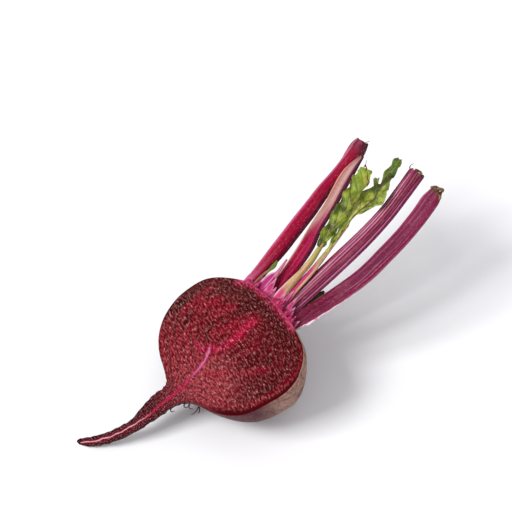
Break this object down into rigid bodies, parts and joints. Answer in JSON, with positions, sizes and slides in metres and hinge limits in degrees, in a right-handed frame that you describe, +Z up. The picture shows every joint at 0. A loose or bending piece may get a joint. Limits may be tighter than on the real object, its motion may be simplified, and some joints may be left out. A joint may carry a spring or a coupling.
{
  "type": "halved beetroot",
  "caption": "Halved beetroot lying on its rounded back, cut face up, with a long curved taproot, trimmed leaf stalks and small young leaves at the crown.",
  "frame": {"origin": "middle of the small flat spot under the bulb, on the surface that the beetroot lies on", "axes": "+Z up; the root's length runs from the taproot in the direction of -X -Y to the crown in the direction of +X +Y, 36.7 degrees from +X; the cut face looks up and leans 24 degrees towards the taproot"},
  "size_m": [0.1766, 0.1349, 0.0864],
  "materials": {
    "beet_flesh": "wet cut flesh, dark crimson with fine pale grain, and dull reddish brown skin on the back",
    "stalk": "satin magenta leaf stalk with paler ribs along it",
    "young_leaf": "satin yellow-green blade with a pink midrib and a cream petiole",
    "dry_scrap": "dull torn sheath tissue, pink to olive"
  },
  "bodies": {
    "root": {"root": "beet_flesh", "stalk_smooth": "stalk", "stalk_channelled": "stalk", "stalk_ribbed": "stalk", "stalk_broad": "stalk", "young_leaf_left": "young_leaf", "young_leaf_right": "young_leaf", "sheath_stub": "dry_scrap", "withered_sliver": "dry_scrap", "bud_leaf": "dry_scrap"}
  },
  "joints": []
}
